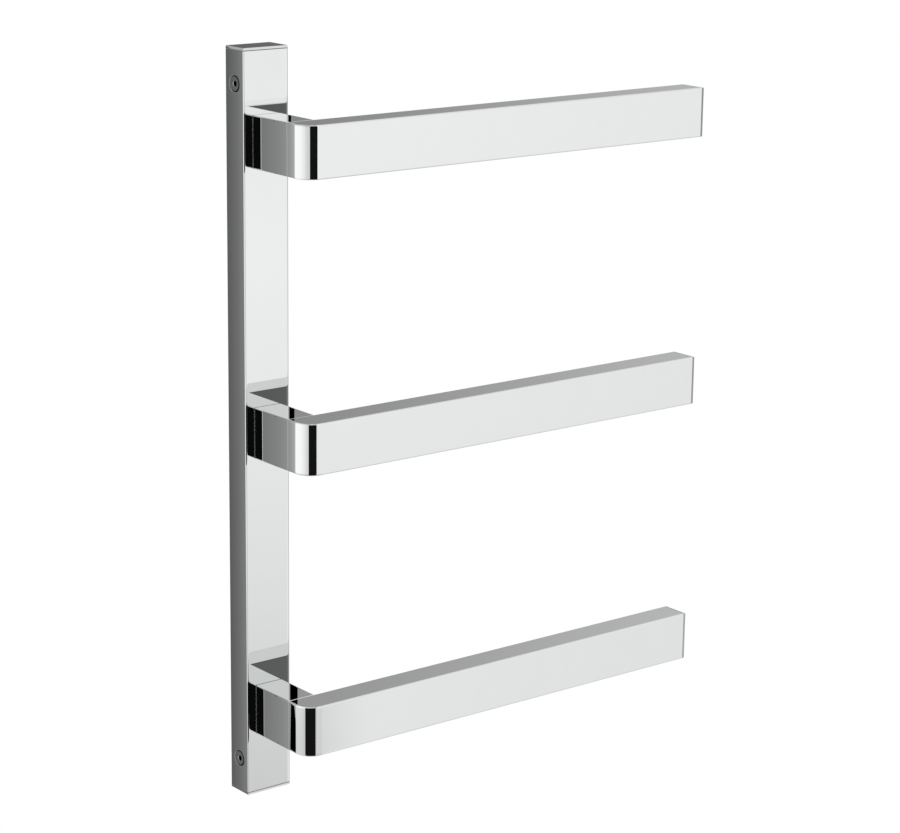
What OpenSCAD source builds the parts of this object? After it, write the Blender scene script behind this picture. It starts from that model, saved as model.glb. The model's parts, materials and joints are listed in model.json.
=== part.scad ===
// Heated towel rail: three level arms carried on one upright column.
// The column's back stands against the wall at y = 0, the room is towards -Y, and the arms
// point towards +X. The origin lies midway between the two wall brackets.

/* [Column] */
// Height of the column over both end caps
column_h = 730; // [600:5:1200]
// Width of the column tube
column_w = 50; // [48:1:64]
// Depth of the column tube, from the wall to its front face
column_d = 30; // [29:1:45]
// Wall of the column tube
column_wall = 2; // [1.5:0.1:2.5]
// Radius along the column's upright edges
column_edge_r = 1.5; // [0.5:0.1:3]

/* [Arms and stubs] */
// Distance from each end of the column to the centre of the nearest arm
arm_inset = 87; // [78:1:150]
// Length of an arm over its end cap
arm_length = 490; // [300:5:700]
// Height of the tube that the arms and stubs are cut from
bar_h = 50; // [46:1:60]
// Thickness of that tube, which is also the width of a stub
bar_t = 30; // [29:1:36]
// Wall of that tube
bar_wall = 2; // [1.5:0.1:2.5]
// Radius along the edges of the arms and stubs
bar_edge_r = 1; // [0.5:0.1:1.4]
// Radius of the arm's front corner, where it turns back to the stub
corner_r = 18; // [10:0.5:22]
// Length of the stub that holds an arm off the column
stub_length = 55; // [40:1:90]
// Chamfer round the cut ends of the tubes and the inner edge of a cap's plate
edge_break = 0.3; // [0.1:0.05:0.5]

/* [End caps] */
// Thickness of a cap's plate
cap_t = 2.5; // [1.5:0.1:3]
// How far a plate's rim slopes inwards to its outer face
cap_taper = 0.5; // [0.1:0.1:1]
// Depth of a cap's skirt inside its tube
cap_skirt = 10; // [5:0.5:11]
// Wall of a cap's skirt
cap_skirt_wall = 1.5; // [1:0.1:2.5]

/* [Tie that clamps arm, stub and column] */
// Outside diameter of the hollow stud
stud_d = 12; // [11:0.1:13]
// Bore of the stud, which the heater leads run through
stud_bore = 8; // [7.4:0.1:8.6]
// Length of stud that shows past the nut and past the anchor block
stud_proud = 1; // [0.5:0.1:1.5]
// Width across the flats of the nut
nut_af = 18; // [17:0.5:19]
// Thickness of the nut
nut_t = 7; // [5:0.5:8]
// Diameter of the washer
washer_d = 24; // [21:0.5:26]
// Thickness of the washer
washer_t = 1.5; // [1:0.1:2]
// Hole behind each nut, wide enough for a socket wrench
access_d = 26; // [25:0.5:30]
// Width of the anchor block inside the arm
anchor_w = 24; // [20:0.5:25]
// Height of the anchor block
anchor_h = 36; // [30:0.5:40]
// Thickness of the anchor block
anchor_t = 10; // [6:0.5:10]
// Thickness of the plates that key the stub to the arm and to the column
spigot_t = 6; // [4:0.5:8]
// Diameter of the dowel pins
pin_d = 4; // [3:0.1:5]
// Height of a dowel pin above or below the stud
pin_offset = 14; // [11:0.5:15]

/* [Wall brackets] */
// Distance of a side screw from the end of the column
bracket_inset = 34; // [32:0.5:40]
// Width of a bracket's foot
foot_w = 36; // [34:0.5:38]
// Height of a bracket's foot
foot_h = 36; // [34:0.5:36]
// Thickness of a bracket's foot
foot_t = 5; // [3:0.5:6]
// Foot below the side screw on the upper bracket, and above it on the lower one
foot_tail = 16; // [14:0.5:17]
// Thickness of the lug that the side screw bites into
lug_t = 14; // [10:0.5:15]
// Height of that lug
lug_h = 26; // [18:0.5:27]
// Gap between the lug and the column's front wall
lug_gap = 3; // [1:0.5:5]
// Gap all round between a foot and its window in the column's back
window_gap = 1; // [0.5:0.1:1.5]
// Wall hole spacing across a bracket
hole_across = 24; // [22:0.5:25]
// Height of the wall holes past the side screw
hole_rise = 12; // [10.5:0.5:14]
// Diameter of the wall holes
hole_d = 5.5; // [4:0.1:6]

/* [Side screws] */
// Thread diameter of a side screw
screw_d = 8; // [6:0.1:8]
// Diameter of its countersunk head
head_d = 16; // [12:0.1:17]
// Length of a side screw over its head
screw_l = 30; // [26:0.5:31]
// Depth of the head below the column's side
head_recess = 0.5; // [0.1:0.05:0.8]
// Width across the flats of its hexagon socket
socket_af = 5; // [4:0.5:6]
// Depth of the socket
socket_depth = 3; // [2:0.1:4]
// Diameter of the boss behind the head
boss_d = 14; // [13:0.1:15]

/* [Heaters] */
// Diameter of a heating element
element_d = 10; // [9:0.1:12]
// Gap between the element and the arm's front wall
element_gap = 3; // [2.5:0.1:4]
// Distance from the stud's axis to the element
element_start = 34; // [28:0.5:60]
// Distance from the element to the arm's free end
element_end = 30; // [20:0.5:60]
// Length of the element's resin seal
seal_l = 8; // [4:0.5:12]
// Diameter of that seal
seal_d = 8.5; // [8:0.1:9]
// Thickness of a spacer that holds the element in the arm
spacer_t = 3; // [2:0.5:6]
// Distance of the outer spacers from the element's ends
spacer_inset = 30; // [15:1:60]
// Diameter of the air holes in a spacer
spacer_hole_d = 10; // [6:0.5:11]
// Diameter of a lead
lead_d = 2.4; // [1.8:0.1:2.6]
// Spacing of the two leads of an element
lead_pitch = 4; // [3.2:0.1:4.4]
// Bend radius of the leads
lead_bend_r = 4; // [3:0.1:4.2]

/* [Wiring in the column] */
// Depth of the leads behind the column's back wall
lead_depth = 7; // [6:0.1:8]
// Distance from the column's centre to the inner lead of the upper arm
riser_x = 14; // [12:0.5:15]
// Height of the terminal block above the lower arm
terminal_rise = 143; // [120:1:150]
// Height of the terminal block
terminal_h = 24; // [20:1:30]
// Depth of the terminal block
terminal_t = 14; // [12:0.5:16]
// Gap between the terminal block and each side of the column
terminal_gap = 1; // [0.5:0.1:2]
// Diameter of the clamp screws' wells
well_d = 3.4; // [2.6:0.1:3.6]
// Depth of those wells
well_depth = 5; // [3:0.5:6]
// Diameter of the screws that hold the terminal block
fixing_d = 3; // [2.5:0.1:3.5]
// Length of those screws
fixing_l = 9; // [6:0.5:11]
// Distance of those screws from the centre of the block
fixing_x = 8; // [7:0.5:9]
// Length of the thermal cut-out
cutout_l = 20; // [14:0.5:30]
// Width of the thermal cut-out
cutout_w = 8; // [7:0.5:9]
// Depth of the thermal cut-out
cutout_t = 6; // [4:0.5:8]
// Distance of the cut-out from the column's centre
cutout_x = 14; // [13:0.5:16]
// Length of the leads between the cut-out and the terminal block
cutout_lead_l = 16; // [8:0.5:30]
// Distance of the supply opening below the terminal block's centre
grommet_drop = 62; // [45:1:80]
// Distance of the supply opening from the column's centre
grommet_x = 10; // [9:0.5:11]
// Bore of the grommet
grommet_bore = 7; // [6:0.1:9]
// Diameter of the grommet's neck
grommet_neck_d = 14; // [12:0.5:15]
// Diameter of the grommet's inner flange
grommet_flange_d = 18; // [16:0.5:20]
// Thickness of that flange
grommet_flange_t = 3; // [2:0.5:4]
// Distance of the earth screw below the terminal block's centre
earth_drop = 38; // [32:0.5:42]
// Distance of the earth screw from the column's centre
earth_x = 12; // [11:0.5:15]
// Diameter of the earth screw
earth_d = 4; // [3:0.1:4]
// Length of the earth screw over its head
earth_l = 9; // [8:0.5:12]
// Thickness of the earth tag
tag_t = 1; // [0.6:0.1:1.5]
// Width of the earth tag's ring
tag_d = 9; // [8:0.1:10]
// Width across the flats of the earth nut
earth_nut_af = 7; // [6:0.1:8]
// Thickness of the earth nut
earth_nut_t = 3.2; // [2:0.1:4]

/* [Clearances] */
// Gap on each side of a cap skirt or plate inside a tube
slide_fit = 0.2; // [0.1:0.05:0.4]
// Radial gap around a bolt, stud or pin in a plain hole
hole_fit = 0.3; // [0.1:0.05:0.4]
// Radial gap around a thread or a seated cone
thread_fit = 0.05; // [0.02:0.01:0.1]

/* [Hidden] */
$fn = 64;
eps = 1;
LEVELS = ["upper", "middle", "lower"];

chrome = "#d4d7d8";
bare_steel = "#9a9d9e";
brass = "#c8a456";
silicone = "#b5482f";
black_plastic = "#26282a";
cream_plastic = "#e4dfce";

// Planes that several pieces share
column_inner_w = column_w - 2 * column_wall;
column_inner_front = column_wall - column_d;
column_inner_back = -column_wall;
arm_back = -column_d - stub_length;
arm_front = arm_back - bar_t;
arm_left = -bar_t / 2;
arm_right = arm_left + arm_length;
arm_pitch = column_h / 2 - arm_inset;
level_z = [arm_pitch, 0, -arm_pitch];
bracket_z = column_h / 2 - bracket_inset;

// Stud, from its front end in the arm to its back end in the column
stud_front = arm_back - bar_wall - anchor_t - stud_proud;
stud_back = column_inner_front + washer_t + nut_t + stud_proud;

// Element and its leads
element_y = arm_front + bar_wall + element_gap + element_d / 2;
element_x0 = element_start;
element_x1 = arm_right - element_end;
lead_y = column_inner_back - lead_depth;

// Terminal block
terminal_z = level_z[2] + terminal_rise;
terminal_w = column_inner_w - 2 * terminal_gap;
terminal_top = terminal_z + terminal_h / 2;
terminal_bottom = terminal_z - terminal_h / 2;
grommet_z = terminal_z - grommet_drop;
earth_z = terminal_z - earth_drop;
tag_barrel_d = lead_d + 1;
tag_barrel_l = 7;
tag_tongue_l = 3;

function unit(v) = v / norm(v);

// Frame whose third axis is the level or upright direction w, at the point p
function frame(u, v, w, p) =
    [[u.x, v.x, w.x, p.x], [u.y, v.y, w.y, p.y], [u.z, v.z, w.z, p.z], [0, 0, 0, 1]];

module rounded_rect(w, h, r) {
    square([w - 2 * r, h], center = true);
    square([w, h - 2 * r], center = true);
    for (x = [-1, 1], y = [-1, 1])
        translate([x * (w / 2 - r), y * (h / 2 - r)]) circle(r);
}

// Rectangle with its corners cut off by the edge break
module cut_rect(w, h) {
    x = w / 2;
    y = h / 2;
    c = edge_break;
    polygon([[c - x, -y], [x - c, -y], [x, c - y], [x, y - c],
             [x - c, y], [c - x, y], [-x, y - c], [-x, c - y]]);
}

// Side view of a cap's plate, w wide: its outer face lies at 0 and its rim slopes out from there
module rim_view(w) {
    x = w / 2;
    polygon([[cap_taper - x, 0], [x - cap_taper, 0], [x, cap_t - edge_break],
             [x - edge_break, cap_t], [edge_break - x, cap_t], [-x, cap_t - edge_break]]);
}

// Draws a view in the XZ or YZ plane, as far as reach on both sides of it
module front_view(reach) {
    translate([0, reach, 0]) rotate([90, 0, 0]) linear_extrude(2 * reach) children();
}

module side_view(reach) {
    translate([-reach, 0, 0]) rotate([90, 0, 90]) linear_extrude(2 * reach) children();
}

// Rectangular tube with rounded long edges and broken end edges, standing on the XY plane
module box_tube(w, h, length, wall, r) {
    difference() {
        intersection() {
            linear_extrude(length) rounded_rect(w, h, r);
            front_view(h) translate([0, length / 2]) cut_rect(w, length);
            side_view(w) translate([0, length / 2]) cut_rect(h, length);
        }
        translate([0, 0, -eps])
            linear_extrude(length + 2 * eps)
                square([w - 2 * wall, h - 2 * wall], center = true);
    }
}

// Cap for such a tube, with its plate's outer face on the XY plane and its skirt upwards
module tube_cap(w, h, wall, r) {
    skirt_w = w - 2 * wall - 2 * slide_fit;
    skirt_h = h - 2 * wall - 2 * slide_fit;
    intersection() {
        linear_extrude(cap_t) rounded_rect(w, h, r);
        front_view(h) rim_view(w);
        side_view(w) rim_view(h);
    }
    translate([0, 0, cap_t])
        linear_extrude(cap_skirt)
            difference() {
                square([skirt_w, skirt_h], center = true);
                square([skirt_w - 2 * cap_skirt_wall, skirt_h - 2 * cap_skirt_wall], center = true);
            }
}

module along_x(x, y, z) {
    translate([x, y, z]) rotate([0, 90, 0]) children();
}

// Children that stand on the XY plane point towards the room here
module to_room(x, y, z) {
    translate([x, y, z]) rotate([90, 0, 0]) children();
}

module hexagon(af, h) {
    cylinder(h = h, d = af / cos(30), $fn = 6);
}

// One lead or wire, through points that follow the axes, with a round bend at each corner
module lead(points) {
    last = len(points) - 1;
    for (i = [0 : last - 1]) {
        u = unit(points[i + 1] - points[i]);
        start = i == 0 ? points[0] : points[i] + u * lead_bend_r;
        end = i == last - 1 ? points[last] : points[i + 1] - u * lead_bend_r;
        side = [u.y, u.z, u.x];
        multmatrix(frame(side, cross(u, side), u, start))
            cylinder(h = norm(end - start), d = lead_d);
        if (i < last - 1) {
            v = unit(points[i + 2] - points[i + 1]);
            multmatrix(frame(-v, u, cross(u, v), end + v * lead_bend_r))
                rotate_extrude(angle = 90)
                    translate([lead_bend_r, 0]) circle(d = lead_d);
        }
    }
}

module column_tube() {
    color(chrome)
        difference() {
            translate([0, -column_d / 2, cap_t - column_h / 2])
                box_tube(column_w, column_d, column_h - 2 * cap_t, column_wall, column_edge_r);
            for (z = level_z) {
                to_room(0, column_inner_front + eps, z)
                    cylinder(h = column_wall + 2 * eps, d = stud_d + 2 * hole_fit);
                to_room(0, eps, z) cylinder(h = column_wall + 2 * eps, d = access_d);
                pin_holes(z, column_inner_front + eps, column_wall + 2 * eps);
            }
            for (side = [-1, 1]) {
                window(side);
                side_screw_cut(side * bracket_z);
            }
            to_room(-grommet_x, eps, grommet_z)
                cylinder(h = column_wall + 2 * eps, d = grommet_neck_d);
            for (x = [-fixing_x, fixing_x]) countersunk_cut(x, terminal_z, fixing_d);
            countersunk_cut(earth_x, earth_z, earth_d);
        }
}

module pin_holes(z, y, depth) {
    for (side = [-1, 1])
        to_room(0, y, z + side * pin_offset) cylinder(h = depth, d = pin_d + 2 * thread_fit);
}

// Window that a bracket's foot fills: side is 1 for the upper bracket and -1 for the lower
module window(side) {
    low = foot_tail + window_gap;
    w = foot_w + 2 * window_gap;
    h = foot_h + 2 * window_gap;
    translate([-w / 2, column_inner_back - eps, side * (bracket_z - low + h / 2) - h / 2])
        cube([w, column_wall + 2 * eps, h]);
}

// Countersink and clearance hole for a side screw, through the column's wall and its boss
module side_screw_cut(z) {
    sink = head_d / 2 + head_recess;
    along_x(-column_w / 2, -column_d / 2, z) {
        cylinder(h = sink - screw_d / 2, r1 = sink, r2 = screw_d / 2);
        cylinder(h = column_w / 2, d = screw_d + 2 * hole_fit);
    }
}

// Countersunk hole from the wall side, for a small screw of diameter d
module countersunk_cut(x, z, d) {
    to_room(x, 0, z) {
        cylinder(h = d / 2, r1 = d + thread_fit, r2 = d / 2 + thread_fit);
        cylinder(h = column_wall + eps, d = d + 2 * hole_fit);
    }
}

module countersunk_screw(x, z, d, length) {
    to_room(x, 0, z) {
        cylinder(h = d / 2, r1 = d, r2 = d / 2);
        cylinder(h = length, d = d);
    }
}

module column_top_cap() {
    color(chrome)
        translate([0, -column_d / 2, column_h / 2]) mirror([0, 0, 1])
            tube_cap(column_w, column_d, column_wall, column_edge_r);
}

module column_bottom_cap() {
    color(chrome)
        translate([0, -column_d / 2, -column_h / 2])
            tube_cap(column_w, column_d, column_wall, column_edge_r);
}

// Foot against the wall with one lug into the column: side is 1 for the upper bracket
module wall_bracket(side) {
    lug_l = -column_inner_front - lug_gap;
    foot_z = side * (bracket_z - foot_tail + foot_h / 2);
    color(bare_steel)
        difference() {
            union() {
                translate([-foot_w / 2, -foot_t, foot_z - foot_h / 2]) cube([foot_w, foot_t, foot_h]);
                translate([-lug_t / 2, -lug_l, side * bracket_z - lug_h / 2])
                    cube([lug_t, lug_l, lug_h]);
            }
            along_x(-lug_t / 2 - eps, -column_d / 2, side * bracket_z)
                cylinder(h = lug_t + 2 * eps, d = screw_d + 2 * thread_fit);
            for (x = [-1, 1])
                to_room(x * hole_across / 2, eps, side * (bracket_z + hole_rise))
                    cylinder(h = foot_t + 2 * eps, d = hole_d);
        }
}

module side_screws() {
    color(chrome)
        for (side = [-1, 1])
            along_x(head_recess - column_w / 2, -column_d / 2, side * bracket_z)
                difference() {
                    union() {
                        cylinder(h = (head_d - screw_d) / 2 - thread_fit,
                                 r1 = head_d / 2 - thread_fit, r2 = screw_d / 2);
                        cylinder(h = screw_l, d = screw_d);
                    }
                    translate([0, 0, -eps]) hexagon(socket_af, socket_depth + eps);
                }
}

// Bosses that carry the side screws' heads and meet the brackets' lugs
module screw_bosses() {
    boss_l = column_inner_w / 2 - lug_t / 2 - slide_fit;
    color(bare_steel)
        for (side = [-1, 1])
            difference() {
                along_x(-column_inner_w / 2, -column_d / 2, side * bracket_z)
                    cylinder(h = boss_l, d = boss_d);
                side_screw_cut(side * bracket_z);
            }
}

// Solid inside of the arm's outline, set in by a wall, and closed at x_end
module arm_block(inset, x_end) {
    r = corner_r - inset;
    left = arm_left + inset;
    front = arm_front + inset;
    back = arm_back - inset;
    translate([0, 0, inset - bar_h / 2])
        linear_extrude(bar_h - 2 * inset) {
            translate([left + r, front]) square([x_end - left - r, back - front]);
            translate([left, front + r]) square([x_end - left, back - front - r]);
            translate([left + r, front + r]) circle(r);
        }
}

// The arm has rounded long edges, the same edge goes on round its closed end, and the open
// end's edge is broken
module arm_outside(x_end) {
    mid_y = (arm_front + arm_back) / 2;
    cut_l = 2 * (x_end - arm_left);
    intersection() {
        arm_block(0, x_end);
        along_x(arm_left, mid_y, 0)
            linear_extrude(x_end - arm_left)
                rounded_rect(bar_h, bar_t, bar_edge_r);
        translate([(arm_left + x_end + eps) / 2, mid_y, 0])
            front_view(bar_t) rounded_rect(x_end + eps - arm_left, bar_h, bar_edge_r);
        translate([x_end - cut_l / 2, mid_y, 0])
            front_view(bar_t) cut_rect(cut_l, bar_h);
        translate([x_end - cut_l / 2, mid_y, -bar_h])
            linear_extrude(2 * bar_h) cut_rect(cut_l, bar_t);
    }
}

module arm_tube(z) {
    color(chrome)
        difference() {
            translate([0, 0, z])
                difference() {
                    arm_outside(arm_right - cap_t);
                    arm_block(bar_wall, arm_right);
                }
            to_room(0, arm_back + eps, z)
                cylinder(h = bar_wall + 2 * eps, d = stud_d + 2 * hole_fit);
            pin_holes(z, arm_back + eps, bar_wall + 2 * eps);
        }
}

module arm_end_cap(z) {
    color(chrome)
        translate([arm_right, (arm_front + arm_back) / 2, z]) rotate([0, -90, 0])
            tube_cap(bar_h, bar_t, bar_wall, bar_edge_r);
}

module stub_tube(z) {
    color(chrome)
        to_room(0, -column_d, z) box_tube(bar_t, bar_h, stub_length, bar_wall, bar_edge_r);
}

// Threaded block welded to the inside of the arm's back wall
module anchor_block(z) {
    color(bare_steel)
        difference() {
            to_room(0, arm_back - bar_wall, z)
                linear_extrude(anchor_t)
                    difference() {
                        square([anchor_w, anchor_h], center = true);
                        circle(d = stud_d + 2 * thread_fit);
                    }
            pin_holes(z, arm_back, pin_reach());
        }
}

// Depth of a dowel pin on each side of a joint's face
function pin_reach() = bar_wall + 2;

// Plate that fits inside the stub, starting at y and going towards the room
module spigot(y, z) {
    color(bare_steel)
        to_room(0, y, z)
            linear_extrude(spigot_t)
                difference() {
                    square([bar_t - 2 * bar_wall - 2 * slide_fit, bar_h - 2 * bar_wall - 2 * slide_fit],
                           center = true);
                    circle(d = stud_d + 2 * hole_fit);
                    for (side = [-1, 1])
                        translate([0, side * pin_offset]) circle(d = pin_d + 2 * thread_fit);
                }
}

module arm_spigot(z) {
    spigot(arm_back + spigot_t, z);
}

module root_spigot(z) {
    spigot(-column_d, z);
}

// Two pins through the column's front wall and two through the arm's back wall
module dowel_pins(z) {
    color(bare_steel)
        for (side = [-1, 1]) {
            to_room(0, column_inner_front, z + side * pin_offset)
                cylinder(h = column_wall + spigot_t, d = pin_d);
            to_room(0, arm_back + spigot_t, z + side * pin_offset)
                cylinder(h = spigot_t + pin_reach(), d = pin_d);
        }
}

module tie_stud(z) {
    color(bare_steel)
        to_room(0, stud_back, z)
            linear_extrude(stud_back - stud_front)
                difference() {
                    circle(d = stud_d);
                    circle(d = stud_bore);
                }
}

module tie_nut(z) {
    color(bare_steel)
        to_room(0, column_inner_front + washer_t + nut_t, z)
            difference() {
                hexagon(nut_af, nut_t);
                translate([0, 0, -eps]) cylinder(h = nut_t + 2 * eps, d = stud_d + 2 * thread_fit);
            }
}

module tie_washer(z) {
    color(bare_steel)
        to_room(0, column_inner_front + washer_t, z)
            linear_extrude(washer_t)
                difference() {
                    circle(d = washer_d);
                    circle(d = stud_d + 2 * hole_fit);
                }
}

module heating_element(z) {
    color(bare_steel)
        along_x(element_x0 + seal_l, element_y, z)
            cylinder(h = element_x1 - element_x0 - seal_l, d = element_d);
    color(bare_steel)
        along_x(element_x0, element_y, z) cylinder(h = seal_l, d = seal_d);
}

// Three plates that hold the element clear of the arm's walls
module element_spacers(z) {
    w = bar_t - 2 * bar_wall - 2 * slide_fit;
    h = bar_h - 2 * bar_wall - 2 * slide_fit;
    mid_y = (arm_front + arm_back) / 2;
    first = element_x0 + seal_l + spacer_inset;
    last = element_x1 - spacer_inset;
    color(silicone)
        for (x = [first, (first + last) / 2, last])
            translate([x - spacer_t / 2, 0, z])
                difference() {
                    translate([0, mid_y - w / 2, -h / 2]) cube([spacer_t, w, h]);
                    along_x(-eps, element_y, 0)
                        cylinder(h = spacer_t + 2 * eps, d = element_d + 2 * thread_fit);
                    for (side = [-1, 1])
                        along_x(-eps, mid_y, side * h / 3)
                            cylinder(h = spacer_t + 2 * eps, d = spacer_hole_d);
                }
}

// The pair of leads from an element, through the stud and to the terminal block
module heater_leads(level) {
    z = level_z[level];
    color(silicone)
        for (side = [-1, 1]) {
            x = side * lead_pitch / 2;
            arm_y = element_y + side * lead_pitch / 2;
            riser_y = lead_y - side * lead_pitch / 2;
            riser = riser_x + (1 - side) * lead_pitch / 2;
            start = [element_x0, arm_y, z];
            if (level == 0)
                lead([start, [x, arm_y, z], [x, riser_y, z], [riser, riser_y, z],
                      [riser, riser_y, terminal_top]]);
            else
                lead([start, [x, arm_y, z], [x, lead_y, z],
                      [x, lead_y, level == 1 ? terminal_top : terminal_bottom]]);
        }
}

// Places across the block where a lead meets one of its clamps
function clamp_x() = [-lead_pitch / 2, lead_pitch / 2, riser_x, riser_x + lead_pitch,
                      -cutout_x + lead_pitch / 2, -cutout_x - lead_pitch / 2];

module terminal_block() {
    color(cream_plastic)
        difference() {
            translate([-terminal_w / 2, column_inner_back - terminal_t, terminal_bottom])
                cube([terminal_w, terminal_t, terminal_h]);
            for (x = clamp_x(), side = [-1, 1])
                to_room(x, column_inner_back - terminal_t + well_depth, terminal_z + side * terminal_h / 4)
                    cylinder(h = well_depth + eps, d = well_d);
            for (x = [-fixing_x, fixing_x])
                to_room(x, column_inner_back + eps, terminal_z)
                    cylinder(h = fixing_l - column_wall + 2 * eps, d = fixing_d + 2 * thread_fit);
        }
}

// Slotted clamp screws in the block's wells
module clamp_screws() {
    screw_len = well_depth - 1;
    color(brass)
        for (x = clamp_x(), side = [-1, 1])
            to_room(x, column_inner_back - terminal_t + well_depth, terminal_z + side * terminal_h / 4)
                difference() {
                    cylinder(h = screw_len, d = well_d - 2 * thread_fit);
                    translate([-well_d, -0.3, screw_len - 0.8]) cube([2 * well_d, 0.6, 1]);
                }
}

module terminal_screws() {
    color(bare_steel)
        for (x = [-fixing_x, fixing_x]) countersunk_screw(x, terminal_z, fixing_d, fixing_l);
}

module thermal_cutout() {
    color(black_plastic)
        translate([-cutout_x - cutout_w / 2, column_inner_back - cutout_t, terminal_top + cutout_lead_l])
            cube([cutout_w, cutout_t, cutout_l]);
}

module cutout_leads() {
    color(silicone)
        for (side = [-1, 1])
            lead([[-cutout_x + side * lead_pitch / 2, column_inner_back - cutout_t / 2, terminal_top],
                  [-cutout_x + side * lead_pitch / 2, column_inner_back - cutout_t / 2,
                   terminal_top + cutout_lead_l]]);
}

// Rubber bush in the column's back, flush with the wall side
module supply_grommet() {
    color(black_plastic)
        to_room(-grommet_x, 0, grommet_z)
            difference() {
                union() {
                    cylinder(h = column_wall, d = grommet_neck_d - 2 * thread_fit);
                    translate([0, 0, column_wall]) cylinder(h = grommet_flange_t, d = grommet_flange_d);
                }
                translate([0, 0, -eps])
                    cylinder(h = column_wall + grommet_flange_t + 2 * eps, d = grommet_bore);
            }
}

module earth_screw() {
    color(brass) countersunk_screw(earth_x, earth_z, earth_d, earth_l);
}

// Ring tag on the earth screw, with a crimped barrel for the earth lead
module earth_tag() {
    color(brass)
        difference() {
            union() {
                to_room(earth_x, column_inner_back, earth_z) cylinder(h = tag_t, d = tag_d);
                translate([earth_x - tag_barrel_d / 2, column_inner_back - tag_t, earth_z])
                    cube([tag_barrel_d, tag_t, tag_d / 2 + tag_tongue_l]);
                translate([earth_x, tag_y(), earth_z + tag_d / 2 + tag_tongue_l])
                    cylinder(h = tag_barrel_l, d = tag_barrel_d);
            }
            to_room(earth_x, column_inner_back + eps, earth_z)
                cylinder(h = tag_t + 2 * eps, d = earth_d + 2 * hole_fit);
        }
}

// Depth of the tag's barrel and of the earth lead
function tag_y() = column_inner_back - tag_barrel_d / 2;

module earth_nut() {
    color(brass)
        to_room(earth_x, column_inner_back - tag_t, earth_z)
            difference() {
                hexagon(earth_nut_af, earth_nut_t);
                translate([0, 0, -eps])
                    cylinder(h = earth_nut_t + 2 * eps, d = earth_d + 2 * thread_fit);
            }
}

module earth_lead() {
    color("#7a9a34")
        lead([[earth_x, tag_y(), earth_z + tag_d / 2 + tag_tongue_l + tag_barrel_l],
              [earth_x, tag_y(), terminal_bottom]]);
}

column_tube();
column_top_cap();
column_bottom_cap();
wall_bracket(1);  // upper_wall_bracket
wall_bracket(-1);  // lower_wall_bracket
side_screws();
screw_bosses();
terminal_block();
clamp_screws();
terminal_screws();
thermal_cutout();
cutout_leads();
supply_grommet();
earth_screw();
earth_nut();
earth_tag();
earth_lead();
for (i = [0 : 2]) {
    z = level_z[i];
    name = LEVELS[i];
    arm_tube(z);
    arm_end_cap(z);
    stub_tube(z);
    anchor_block(z);
    arm_spigot(z);
    root_spigot(z);
    dowel_pins(z);
    tie_stud(z);
    tie_nut(z);
    tie_washer(z);
    heating_element(z);
    element_spacers(z);
    heater_leads(i);
}
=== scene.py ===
"""Heated towel rail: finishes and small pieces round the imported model, with its studio.

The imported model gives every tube, plate and lead its place. This script gives each of them the
finish of the real one, and builds the turned and threaded pieces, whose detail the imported
model leaves plain.
"""
import json
import math

import bpy
import numpy as np
from mathutils import Matrix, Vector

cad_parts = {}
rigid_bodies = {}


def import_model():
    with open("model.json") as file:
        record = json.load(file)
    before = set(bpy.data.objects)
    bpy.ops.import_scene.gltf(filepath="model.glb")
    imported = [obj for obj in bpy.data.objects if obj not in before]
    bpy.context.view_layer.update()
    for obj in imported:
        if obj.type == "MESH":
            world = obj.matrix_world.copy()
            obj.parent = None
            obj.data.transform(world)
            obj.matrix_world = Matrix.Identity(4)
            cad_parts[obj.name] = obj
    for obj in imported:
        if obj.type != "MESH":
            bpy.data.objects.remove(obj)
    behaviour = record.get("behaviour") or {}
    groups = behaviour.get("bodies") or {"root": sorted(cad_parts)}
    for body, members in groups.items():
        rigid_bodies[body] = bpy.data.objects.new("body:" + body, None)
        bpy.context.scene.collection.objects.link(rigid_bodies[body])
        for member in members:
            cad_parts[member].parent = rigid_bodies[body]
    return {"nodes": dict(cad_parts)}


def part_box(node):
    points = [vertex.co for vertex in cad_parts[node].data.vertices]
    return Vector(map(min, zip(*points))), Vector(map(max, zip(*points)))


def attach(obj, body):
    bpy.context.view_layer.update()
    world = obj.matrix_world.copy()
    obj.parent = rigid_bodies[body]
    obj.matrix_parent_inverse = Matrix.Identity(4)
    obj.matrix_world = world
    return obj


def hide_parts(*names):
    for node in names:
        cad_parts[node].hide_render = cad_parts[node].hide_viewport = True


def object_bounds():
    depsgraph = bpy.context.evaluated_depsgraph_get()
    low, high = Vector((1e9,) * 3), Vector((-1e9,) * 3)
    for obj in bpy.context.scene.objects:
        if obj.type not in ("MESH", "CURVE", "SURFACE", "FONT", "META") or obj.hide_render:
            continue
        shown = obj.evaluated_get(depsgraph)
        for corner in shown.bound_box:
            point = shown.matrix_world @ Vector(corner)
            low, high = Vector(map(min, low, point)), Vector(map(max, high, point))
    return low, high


bl_info = {
    "name": "Heated towel rail",
    "version": (1, 0, 0),
    "blender": (4, 5, 0),
    "location": "3D View > Sidebar > Towel rail",
    "description": "Dresses a wall-hung heated towel rail and lights it in a studio",
    "category": "Object",
}

bpy.data.batch_remove(list(bpy.data.objects))
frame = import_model()
NODES = frame["nodes"]
CAD_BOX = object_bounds()
LEVELS = ("upper", "middle", "lower")
MM = 0.001


def linear(code):
    """Linear RGBA of an sRGB hex colour."""
    c = np.array([int(code[i:i + 2], 16) for i in (1, 3, 5)]) / 255
    c = np.where(c > 0.04045, ((c + 0.055) / 1.055) ** 2.4, c / 12.92)
    return (*c.tolist(), 1.0)


def middle(node):
    """Centre of a node's box."""
    low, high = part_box(node)
    return (low + high) / 2


# Surfaces


def full_turn(count):
    """Angles of evenly spaced points round an axis."""
    return np.linspace(0, 2 * math.pi, count, endpoint=False)


def quarter_turn(count):
    """Angles from 0 to a right angle, for a rounded edge."""
    return np.linspace(0, math.pi / 2, count)


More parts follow.
